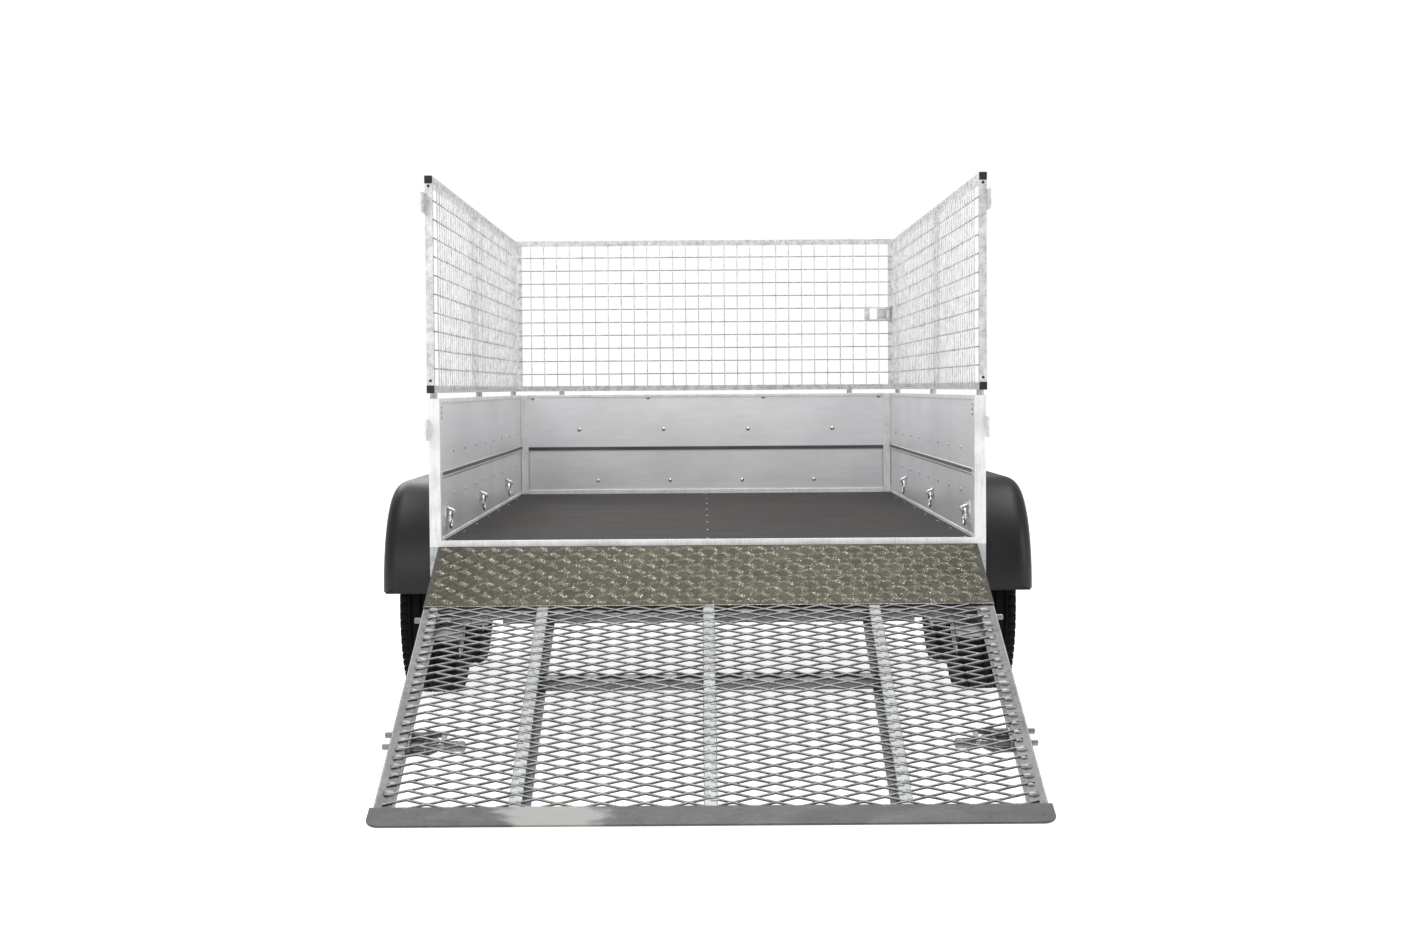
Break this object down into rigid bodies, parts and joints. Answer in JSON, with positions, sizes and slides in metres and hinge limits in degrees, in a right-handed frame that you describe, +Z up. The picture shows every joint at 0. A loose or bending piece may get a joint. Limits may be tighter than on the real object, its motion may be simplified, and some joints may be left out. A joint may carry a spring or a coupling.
{
  "type": "livestock trailer",
  "caption": "Open tandem-axle livestock trailer with sheet walls, wire-mesh sides, a rear loading ramp, sprung wheels, mudguards, drawbar, coupling and jockey wheel.",
  "frame": {"origin": "on the ground, below the middle of the whole object with its ramp lowered", "axes": "+Y towards the drawbar, +X to the right when seen from the ramp, +Z up"},
  "size_m": [1.886, 4.9506, 1.495],
  "materials": {
    "galvanised": "hot-dip galvanised, spangled",
    "galvanised_dark": "weathered hot-dip galvanised",
    "wall_sheet": "smooth zinc-aluminium sheet",
    "post": "bright anodised",
    "wire": "galvanised welded wire",
    "floor": "dark film-faced plywood",
    "tread_plate": "five-bar tread plate, dulled",
    "fastener": "zinc-plated",
    "ring": "bright zinc",
    "mudguard": "fine-grained moulding",
    "tyre": "road rubber",
    "rim": "silver lacquer",
    "jockey_tyre": "solid rubber",
    "lamp": "red lens",
    "grip": "black dip coating"
  },
  "bodies": {
    "trailer": {"chassis_frame": "galvanised", "hinge_pins": "fastener", "drawbar": "galvanised", "coupling_body": "galvanised", "floor_board": "floor", "floor_edge_trim": "post", "floor_screws": "fastener", "side_panel_left": "wall_sheet", "side_panel_right": "wall_sheet", "front_panel": "wall_sheet", "corner_posts": "post", "panel_fasteners": "fastener", "ring_brackets": "fastener", "mesh_sockets": "galvanised", "rear_lamps": "lamp", "axle_beams": "galvanised", "mudguard_left": "mudguard", "mudguard_right": "mudguard", "jockey_clamp": "galvanised"},
    "ramp": {"ramp_frame": "galvanised", "ramp_mesh": "galvanised_dark", "ramp_tread_plate": "tread_plate", "ramp_lip": "galvanised_dark", "ramp_bolt_guides": "galvanised"},
    "mesh_left": {"mesh_frame_left": "wire", "mesh_wires_left": "wire"},
    "mesh_right": {"mesh_frame_right": "wire", "mesh_wires_right": "wire"},
    "mesh_front": {"mesh_frame_front": "wire", "mesh_wires_front": "wire", "mesh_latch_base": "wire"},
    "mesh_latch": {"mesh_latch_lever": "wire"},
    "coupling_lever": {"coupling_handle": "grip"},
    "jockey_post": {"jockey_tube": "galvanised"},
    "jockey_caster": {"jockey_fork": "galvanised_dark"},
    "jockey_roller": {"jockey_wheel": "jockey_tyre"},
    "jockey_handle": {"jockey_crank": "fastener"},
    "bolt_lower_left": {"ramp_bolt_lower_left": "fastener"},
    "bolt_lower_right": {"ramp_bolt_lower_right": "fastener"},
    "bolt_upper_left": {"ramp_bolt_upper_left": "fastener"},
    "bolt_upper_right": {"ramp_bolt_upper_right": "fastener"},
    "arm_rear_left": {"suspension_arm_rear_left": "galvanised_dark"},
    "wheel_rear_left": {"wheel_rear_left": "rim", "tyre_rear_left": "tyre"},
    "arm_rear_right": {"suspension_arm_rear_right": "galvanised_dark"},
    "wheel_rear_right": {"wheel_rear_right": "rim", "tyre_rear_right": "tyre"},
    "arm_front_left": {"suspension_arm_front_left": "galvanised_dark"},
    "wheel_front_left": {"wheel_front_left": "rim", "tyre_front_left": "tyre"},
    "arm_front_right": {"suspension_arm_front_right": "galvanised_dark"},
    "wheel_front_right": {"wheel_front_right": "rim", "tyre_front_right": "tyre"},
    "ring_left_1": {"lashing_ring_left_1": "ring"},
    "ring_left_2": {"lashing_ring_left_2": "ring"},
    "ring_left_3": {"lashing_ring_left_3": "ring"},
    "ring_right_1": {"lashing_ring_right_1": "ring"},
    "ring_right_2": {"lashing_ring_right_2": "ring"},
    "ring_right_3": {"lashing_ring_right_3": "ring"}
  },
  "joints": [
    {"name": "ramp_fold", "type": "hinge", "parent": "trailer", "child": "ramp", "pos_m": [0, -1.27071, 0.47], "axis": [-1, 0, 0], "range_deg": [0, 112.4]},
    {"name": "bolt_lower_left_slide", "type": "slide", "parent": "ramp", "child": "bolt_lower_left", "axis": [-1, 0, 0], "range_m": [-0.012, 0.02]},
    {"name": "bolt_lower_right_slide", "type": "slide", "parent": "ramp", "child": "bolt_lower_right", "axis": [1, 0, 0], "range_m": [-0.012, 0.02]},
    {"name": "bolt_upper_left_slide", "type": "slide", "parent": "ramp", "child": "bolt_upper_left", "axis": [-1, 0, 0], "range_m": [-0.012, 0.02]},
    {"name": "bolt_upper_right_slide", "type": "slide", "parent": "ramp", "child": "bolt_upper_right", "axis": [1, 0, 0], "range_m": [-0.012, 0.02]},
    {"name": "suspension_rear_left", "type": "hinge", "parent": "trailer", "child": "arm_rear_left", "pos_m": [0, -0.38366, 0.388], "axis": [-1, 0, 0], "range_deg": [0, 20], "stiffness_Nm_per_rad": 2400, "springref_deg": -7.45},
    {"name": "spin_rear_left", "type": "hinge", "parent": "arm_rear_left", "child": "wheel_rear_left", "pos_m": [-0.8245, -0.50171, 0.28], "axis": [1, 0, 0], "continuous": true},
    {"name": "suspension_rear_right", "type": "hinge", "parent": "trailer", "child": "arm_rear_right", "pos_m": [0, -0.38366, 0.388], "axis": [-1, 0, 0], "range_deg": [0, 20], "stiffness_Nm_per_rad": 2400, "springref_deg": -7.45},
    {"name": "spin_rear_right", "type": "hinge", "parent": "arm_rear_right", "child": "wheel_rear_right", "pos_m": [0.8245, -0.50171, 0.28], "axis": [1, 0, 0], "continuous": true},
    {"name": "suspension_front_left", "type": "hinge", "parent": "trailer", "child": "arm_front_left", "pos_m": [0, 0.26634, 0.388], "axis": [-1, 0, 0], "range_deg": [0, 20], "stiffness_Nm_per_rad": 2400, "springref_deg": -7.45},
    {"name": "spin_front_left", "type": "hinge", "parent": "arm_front_left", "child": "wheel_front_left", "pos_m": [-0.8245, 0.14829, 0.28], "axis": [1, 0, 0], "continuous": true},
    {"name": "suspension_front_right", "type": "hinge", "parent": "trailer", "child": "arm_front_right", "pos_m": [0, 0.26634, 0.388], "axis": [-1, 0, 0], "range_deg": [0, 20], "stiffness_Nm_per_rad": 2400, "springref_deg": -7.45},
    {"name": "spin_front_right", "type": "hinge", "parent": "arm_front_right", "child": "wheel_front_right", "pos_m": [0.8245, 0.14829, 0.28], "axis": [1, 0, 0], "continuous": true},
    {"name": "ring_left_1_swing", "type": "hinge", "parent": "trailer", "child": "ring_left_1", "pos_m": [-0.708, -1.10971, 0.586], "axis": [0, -1, 0], "range_deg": [0, 110]},
    {"name": "ring_left_2_swing", "type": "hinge", "parent": "trailer", "child": "ring_left_2", "pos_m": [-0.708, -0.24971, 0.586], "axis": [0, -1, 0], "range_deg": [0, 110]},
    {"name": "ring_left_3_swing", "type": "hinge", "parent": "trailer", "child": "ring_left_3", "pos_m": [-0.708, 0.61029, 0.586], "axis": [0, -1, 0], "range_deg": [0, 110]},
    {"name": "ring_right_1_swing", "type": "hinge", "parent": "trailer", "child": "ring_right_1", "pos_m": [0.708, -1.10971, 0.586], "axis": [0, 1, 0], "range_deg": [0, 110]},
    {"name": "ring_right_2_swing", "type": "hinge", "parent": "trailer", "child": "ring_right_2", "pos_m": [0.708, -0.24971, 0.586], "axis": [0, 1, 0], "range_deg": [0, 110]},
    {"name": "ring_right_3_swing", "type": "hinge", "parent": "trailer", "child": "ring_right_3", "pos_m": [0.708, 0.61029, 0.586], "axis": [0, 1, 0], "range_deg": [0, 110]},
    {"name": "mesh_left_lift", "type": "slide", "parent": "trailer", "child": "mesh_left", "axis": [0, 0, 1], "range_m": [0, 0.08]},
    {"name": "mesh_right_lift", "type": "slide", "parent": "trailer", "child": "mesh_right", "axis": [0, 0, 1], "range_m": [0, 0.08]},
    {"name": "mesh_front_lift", "type": "slide", "parent": "trailer", "child": "mesh_front", "axis": [0, 0, 1], "range_m": [0, 0.08]},
    {"name": "mesh_latch_open", "type": "hinge", "parent": "mesh_front", "child": "mesh_latch", "pos_m": [0.707, 1.22129, 1.205], "axis": [0, 0, 1], "range_deg": [0, 90]},
    {"name": "coupling_release", "type": "hinge", "parent": "trailer", "child": "coupling_lever", "pos_m": [0, 2.36529, 0.43], "axis": [-1, 0, 0], "range_deg": [0, 60], "stiffness_Nm_per_rad": 3, "springref_deg": -17.19},
    {"name": "jockey_height", "type": "slide", "parent": "trailer", "child": "jockey_post", "axis": [0, 0, 1], "range_m": [0, 0.13]},
    {"name": "jockey_swivel", "type": "hinge", "parent": "jockey_post", "child": "jockey_caster", "pos_m": [-0.205, 1.82529, 0.205], "axis": [0, 0, 1], "continuous": true},
    {"name": "jockey_spin", "type": "hinge", "parent": "jockey_caster", "child": "jockey_roller", "pos_m": [-0.205, 1.82529, 0.1], "axis": [1, 0, 0], "continuous": true},
    {"name": "jockey_crank_turn", "type": "hinge", "parent": "jockey_post", "child": "jockey_handle", "pos_m": [-0.205, 1.82529, 0.6405], "axis": [0, 0, 1], "continuous": true}
  ]
}
